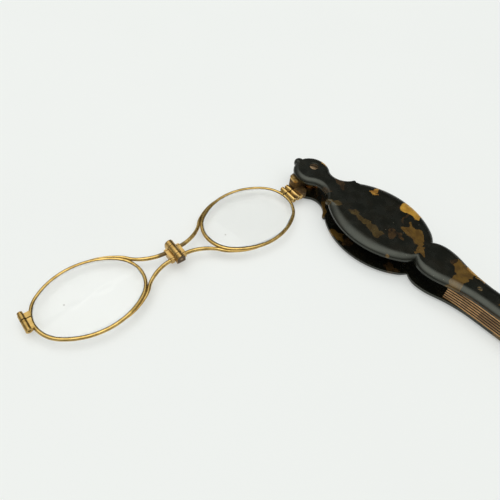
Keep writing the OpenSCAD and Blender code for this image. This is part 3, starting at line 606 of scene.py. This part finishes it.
def strip(name, node, material):
    """The reeded strip, bent along the plates' edge; it runs deeper and thinner at its two ends."""
    half = [(x, y, Vector((dx, dy)).normalized()) for x, y, dx, dy in outline() if y < STRIP_Y]
    path = half + [(-x, y, Vector((-n.x, n.y))) for x, y, n in half[-2::-1]]
    bm = bmesh.new()
    rings = []
    for x, y, n in path:
        inset = STRIP_INSET + 0.8 * max(0.0, (y + 77) / 9.4) ** 1.2
        section = strip_section(inset, STRIP_BACK)
        rings.append(ring(bm, [(x + n.x * d + SHIFT, y + n.y * d, z) for d, z in section]))
    for a, b in zip(rings, rings[1:]):
        ring_faces(bm, a, b)
    bm.faces.new(rings[0])
    bm.faces.new(rings[-1])
    return piece(name, to_mesh(name, bm), "root", [node], material, sharp=50)


strip("brass_strip", "reeded_spacer", reeded)


# ---------------------------------------------------------------- lens frame

TILT = radians(-7.1)
PIVOT_X, DROP, LENS_X, HINGE_Z, RIM_Z = 65.54, 2.9, 31.77, MID_Z, 3.85
RIM_A, RIM_B, WIRE = 18.5, 13.7, 1.3
JOIN = degrees(atan2(3, 4))


def placed(p, side):
    """A point of the lens frame, near (1) or far (-1) of the hinge, in the CAD frame."""
    x, y = side * p[0] - PIVOT_X, p[1] - DROP
    return (x * cos(TILT) - y * sin(TILT), x * sin(TILT) + y * cos(TILT), p[2])


def sweep(bm, stations, sides):
    """A round bar through (x, y, z, radius) stations, with closed ends."""
    points = [Vector(s[:3]) for s in stations]
    turns = [2 * pi * j / sides for j in range(sides)]
    up = Vector((0, 0, 1))
    rings = []
    for i, (*_, r) in enumerate(stations):
        way = (points[min(i + 1, len(points) - 1)] - points[max(i - 1, 0)]).normalized()
        up = (up - way * up.dot(way)).normalized()
        across = way.cross(up)
        rings.append(ring(bm, [points[i] + r * (cos(a) * across + sin(a) * up) for a in turns]))
    for a, b in zip(rings, rings[1:]):
        ring_faces(bm, a, b)
    bm.faces.new(rings[0])
    bm.faces.new(rings[-1])


def oval_point(a, b, angle):
    """Point of a four-arc oval whose outward direction is angle, 0 to 90, off the long axis."""
    k = 2 * (a - b)
    g = radians(angle)
    if angle <= 90 - JOIN:
        return a - b + k / 4 + (b - k / 4) * cos(g), (b - k / 4) * sin(g)
    return (b + k) * cos(g), (b + k) * sin(g) - k


def oval_loop(a, b, n=40):
    """Closed loop of a four-arc oval, n points to a quarter."""
    quarter = [oval_point(a, b, 90 * i / n) for i in range(n + 1)]
    loop = quarter[:-1] + [(-x, y) for x, y in quarter[:0:-1]]
    return loop + [(-x, -y) for x, y in loop]


def wire_stations(mirror):
    """A bridge wire as (x, y, z, radius): a tail soldered along the rim, then an S-curve."""
    tip, fork, tail_steps, run_steps = 76, 36, 24, 40
    stations = []
    for i in range(tail_steps + 1):
        u = i / tail_steps
        angle = tip - (tip - fork) * u
        off = WIRE / 2 + 0.02 + 0.5 * u ** 0.8
        x, y = oval_point(RIM_A, RIM_B, angle)
        x, y = x + off * cos(radians(angle)), y + off * sin(radians(angle))
        stations.append((LENS_X - x, mirror * y, RIM_Z, 0.1 + 0.52 * u ** 0.8))
    g = radians(fork)
    start = Vector((stations[-1][0], abs(stations[-1][1])))
    p = [start, start - 3.2 * Vector((sin(g), cos(g))), Vector((7.6, 1.9)), Vector((2.95, 1.9))]
    for i in range(1, run_steps + 1):
        t = i / run_steps
        s = 1 - t
        q = s ** 3 * p[0] + 3 * s ** 2 * t * p[1] + 3 * s * t * t * p[2] + t ** 3 * p[3]
        r = 0.62 + 0.1 * min(1, 2 * t) ** 2
        stations.append((q.x, mirror * q.y, RIM_Z + 0.175 * (1 - cos(pi * t)), r))
    return stations


def bridge_wires(name, node, body, side):
    bm = bmesh.new()
    for mirror in (1, -1):
        sweep(bm, [placed(s[:3], side) + (s[3],) for s in wire_stations(mirror)], 20)
    return piece(name, to_mesh(name, bm), body, [node], wire_gilt, sharp=50)


bridge_wires("near_wires", "near_bridge_wires", "near_frame", 1)
bridge_wires("far_wires", "far_bridge_wires", "far_frame", -1)


LENS_HALF, FACE_R = 0.95, 300.0


def lens(name, node, body, side):
    """A shallow biconvex lens, bevelled all round to sit in the rim's groove."""
    tip = WIRE / 2 - 0.42 + 0.04
    bm = bmesh.new()
    rows = [0.0, 0.42, 0.82, 0.9, 1.6, 2.6, 4.0, 6.0, 8.5, 11.0]
    loops = [oval_loop(RIM_A - tip - d, RIM_B - tip - d) for d in rows]

    def height(x, y, d):
        return min(LENS_HALF - FACE_R + sqrt(FACE_R ** 2 - x * x - y * y), d)

    def row(loop, d, up):
        points = [(LENS_X + x, y, RIM_Z + up * height(x, y, d)) for x, y in loop]
        return ring(bm, [placed(p, side) for p in points])

    edge = row(loops[0], rows[0], 0)
    for up in (1, -1):
        rings = [edge] + [row(loop, d, up) for loop, d in zip(loops[1:], rows[1:])]
        for a, b in zip(rings, rings[1:]):
            ring_faces(bm, a, b)
        middle = ring(bm, [placed((LENS_X, 0, RIM_Z + up * LENS_HALF), side)])[0]
        last = rings[-1]
        for i in range(len(last)):
            bm.faces.new((last[i], last[(i + 1) % len(last)], middle))
    return piece(name, to_mesh(name, bm), body, [node], glass, sharp=12)


lens("near_glass", "near_lens", "near_frame", 1)
lens("far_glass", "far_lens", "far_frame", -1)


def coil(name, node, body):
    """The hinge's spring round its pin, inside the middle knuckle."""
    bm = bmesh.new()
    start, end, turns, steps = -1.02, 1.72, 5, 28
    coil_r, wire_r = 0.85, 0.13
    stations = []
    for i in range(turns * steps + 1):
        a = 2 * pi * i / steps
        y = start + (end - start) * i / (turns * steps)
        stations.append(placed((coil_r * cos(a), y, HINGE_Z + coil_r * sin(a)), 1) + (wire_r,))
    sweep(bm, stations, 8)
    return piece(name, to_mesh(name, bm), body, [node], spring)


coil("coil_spring", "hinge_spring", "near_frame")


# ---------------------------------------------------------------- CAD pieces that stay

KEPT = (
    (gilt, ("near_rim", "far_rim")),
    (hinge_gilt, ("near_hinge", "far_hinge")),
    (tube_gilt, ("near_upper_tubes", "near_lower_tube", "far_upper_tube", "far_lower_tube")),
    (gilt_dull, ("arm_pin", "near_closing_screw", "far_closing_screw")),
    (arm_metal, ("pivot_arm",)),
    (brass, ("hinge_pin", "pivot_screw", "pivot_nut", "rivet_tubes")),
    (rivet_metal, ("handle_rivets",)),
    (copper, ("upper_washer", "lower_washer")),
)
for material, names in KEPT:
    for name in names:
        for material_slot in nodes[name].material_slots:
            material_slot.material = material


# ---------------------------------------------------------------- camera, floor and light

SKY_LOW, SKY_TOP = 0.27, 1.98  # strength at the horizon, and what is added overhead
PHOTO_PX, FOCAL_PX = 500, 521.553
FIT_SCALE = 0.925  # from the perspective fit's units to millimetres


def make_camera():
    """The photograph's view: a plain pinhole some 0.22 m from the object."""
    rx, ry, rz = -0.679680, 0.0815582, 0.769650
    turn = Matrix.Rotation(rx, 3, "X") @ Matrix.Rotation(ry, 3, "Y") @ Matrix.Rotation(rz, 3, "Z")
    shift = Vector((26.2244, 28.2050, -229.9539)) * FIT_SCALE * MM
    data = bpy.data.cameras.new("view")
    data.sensor_width = 36
    data.lens = FOCAL_PX / PHOTO_PX * data.sensor_width
    data.clip_start = 0.01
    data.clip_end = 20
    camera = bpy.data.objects.new("view", data)
    bpy.context.scene.collection.objects.link(camera)
    back = turn.transposed()
    camera.matrix_world = Matrix.Translation(back @ -shift) @ back.to_4x4()
    bpy.context.scene.camera = camera


def softbox(name, place, aim, size, power):
    data = bpy.data.lights.new(name, "AREA")
    data.shape = "RECTANGLE"
    data.size, data.size_y = size
    data.energy = power
    lamp = bpy.data.objects.new(name, data)
    bpy.context.scene.collection.objects.link(lamp)
    lamp.location = place
    lamp.rotation_euler = (Vector(aim) - Vector(place)).to_track_quat("-Z", "Y").to_euler()


def make_world():
    """A soft bright room, brightest overhead, with one dark side opposite the camera."""
    world = bpy.data.worlds.new("studio")
    bpy.context.scene.world = world
    world.use_nodes = True
    tree = world.node_tree

    def node(kind, operation, *values):
        n = tree.nodes.new(kind)
        n.operation = operation
        for i, v in enumerate(values):
            if isinstance(v, bpy.types.NodeSocket):
                tree.links.new(v, n.inputs[i])
            else:
                n.inputs[i].default_value = v
        return n.outputs["Value"]

    way = tree.nodes.new("ShaderNodeTexCoord").outputs["Generated"]
    height = node("ShaderNodeVectorMath", "DOT_PRODUCT", way, (0, 0, 1))
    steep = node("ShaderNodeMath", "POWER", height, 4.0)
    sky = node("ShaderNodeMath", "MULTIPLY_ADD", steep, SKY_TOP, SKY_LOW)
    el, az = radians(38), radians(12)
    dark_way = (cos(el) * cos(az), cos(el) * sin(az), sin(el))
    dark = node("ShaderNodeVectorMath", "DOT_PRODUCT", way, dark_way)
    ramp = tree.nodes.new("ShaderNodeMapRange")
    ramp.interpolation_type = "SMOOTHSTEP"
    tree.links.new(dark, ramp.inputs["Value"])
    ramp.inputs["From Min"].default_value = cos(radians(34))
    ramp.inputs["From Max"].default_value = cos(radians(12))
    ramp.inputs["To Min"].default_value = 1.0
    ramp.inputs["To Max"].default_value = 0.1
    background = tree.nodes["Background"]
    background.inputs[0].default_value = (0.985, 1.0, 0.99, 1)
    tree.links.new(node("ShaderNodeMath", "MULTIPLY", sky, ramp.outputs[0]), background.inputs[1])


def make_floor():
    """A plain pale floor that glows a little, so that shadows stay as faint as in the photo."""
    mesh = bpy.data.meshes.new("floor")
    s = 2.0
    mesh.from_pydata([(-s, -s, 0), (s, -s, 0), (s, s, 0), (-s, s, 0)], [], [(0, 1, 2, 3)])
    floor = bpy.data.objects.new("floor", mesh)
    bpy.context.scene.collection.objects.link(floor)
    floor.location = (0, 0, -0.00002)
    t = Tree("floor")
    tone = t.mix(t.noise(0.01, 2.0), (192, 194, 192), (188, 190, 188))
    t.set(Base_Color=tone, Roughness=0.9, Specular_IOR_Level=0.0,
          Emission_Color=(240, 242, 239), Emission_Strength=0.42)
    mesh.materials.append(t.material)


make_camera()
make_world()
make_floor()
softbox("lamp_top", (-0.05, 0.15, 0.75), (-0.03, -0.03, 0), (0.8, 0.6), 0.9)

bpy.context.scene.view_settings.view_transform = "Standard"
